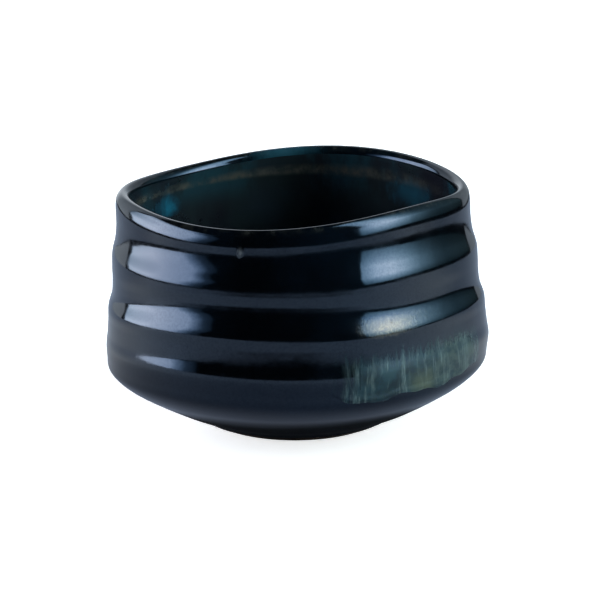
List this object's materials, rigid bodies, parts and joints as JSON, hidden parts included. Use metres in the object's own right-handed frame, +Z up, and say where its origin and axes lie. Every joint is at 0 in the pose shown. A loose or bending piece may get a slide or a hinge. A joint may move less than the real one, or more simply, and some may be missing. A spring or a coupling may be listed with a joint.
{
  "type": "matcha bowl",
  "caption": "Wide ceramic tea bowl with finger grooves, a rolled wavy lip, a low foot ring and dark glossy glaze with a streaked patch.",
  "frame": {"origin": "on the table plane, under the centre of the whole bowl's box; the foot ring's own axis stands 1.15 mm to the -X side of it", "axes": "+Z up out of the bowl's mouth, -Y towards the side that shows the streaked glaze a little to its right, +X to the right"},
  "size_m": [0.1187, 0.126, 0.0756],
  "materials": {
    "clay": "matt",
    "dark_glaze": "gloss",
    "inner_glaze": "gloss",
    "lip_glaze": "gloss",
    "streaked_glaze": "gloss"
  },
  "bodies": {
    "root": {"clay_body": "clay", "foot_ring": "clay", "outer_glaze": "dark_glaze", "inner_glaze": "inner_glaze", "lip_glaze": "lip_glaze", "streaked_glaze": "streaked_glaze", "glaze_bead": "lip_glaze"}
  },
  "joints": []
}
